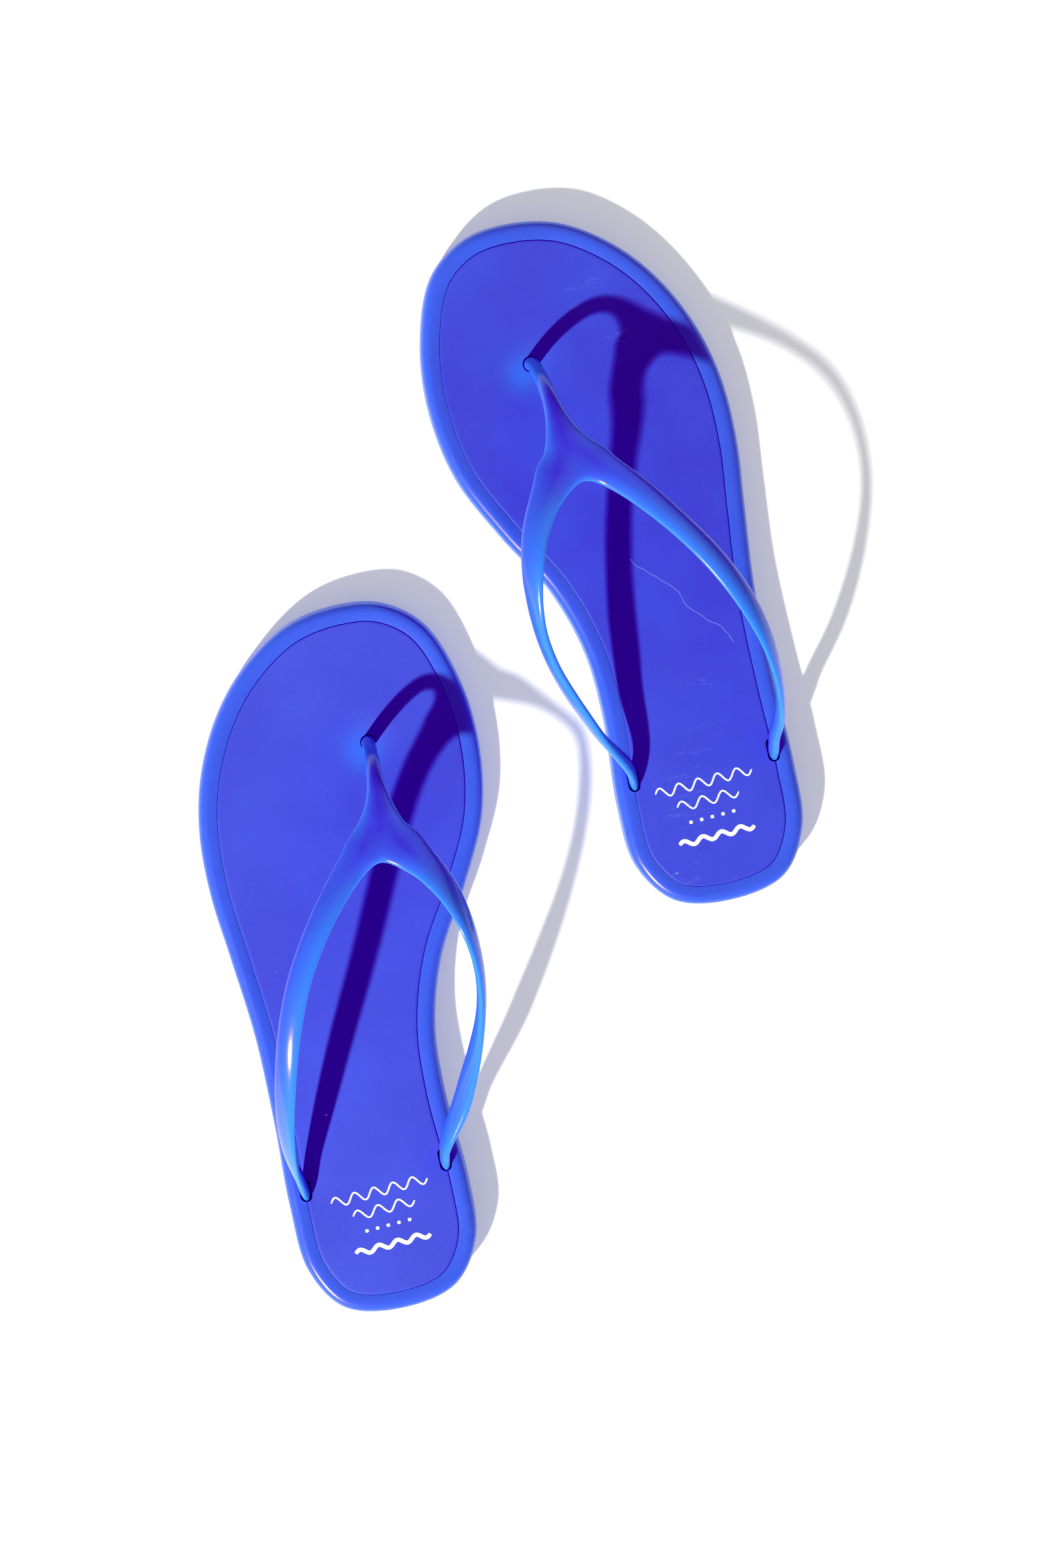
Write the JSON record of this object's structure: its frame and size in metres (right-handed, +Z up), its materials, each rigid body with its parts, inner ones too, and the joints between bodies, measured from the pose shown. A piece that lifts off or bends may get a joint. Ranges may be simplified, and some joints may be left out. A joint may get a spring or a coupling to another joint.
{
  "type": "flip flop",
  "caption": "Slim moulded flip flops, a left and right pair, each with an outsole, a let-in footbed and a thong strap held by heads under the sole.",
  "frame": {"origin": "on the ground under the middle of the pair", "axes": "+Y towards the toes of both sandals, +X towards the right sandal, +Z up from the ground"},
  "size_m": [0.2204, 0.3754, 0.0653],
  "materials": {
    "outsole": "soft moulded blue, glossy rim",
    "footbed": "soft moulded blue, satin with a fine grain",
    "strap": "soft moulded blue, glossy",
    "heel_print": "white printed ink"
  },
  "bodies": {
    "right_sole": {"right_outsole_rear": "outsole", "right_footbed_rear": "footbed", "right_strap": "strap"},
    "right_toe_end": {"right_outsole_front": "outsole", "right_footbed_front": "footbed"},
    "left_sole": {"left_outsole_rear": "outsole", "left_footbed_rear": "footbed", "left_strap": "strap"},
    "left_toe_end": {"left_outsole_front": "outsole", "left_footbed_front": "footbed"}
  },
  "joints": [
    {"name": "right_sole_flex", "type": "hinge", "parent": "right_sole", "child": "right_toe_end", "pos_m": [0.04285, 0.10125, 0.0125], "axis": [1, 0, 0], "range_deg": [0, 35], "stiffness_Nm_per_rad": 0.9, "deforming": ["right_strap"]},
    {"name": "left_lift", "type": "slide", "parent": "right_sole", "child": "left_sole", "axis": [0, 0, 1], "range_m": [0, 0.12]},
    {"name": "left_sole_flex", "type": "hinge", "parent": "left_sole", "child": "left_toe_end", "pos_m": [-0.04285, -0.01925, 0.0125], "axis": [1, 0, 0], "range_deg": [0, 35], "stiffness_Nm_per_rad": 0.9, "deforming": ["left_strap"]}
  ]
}
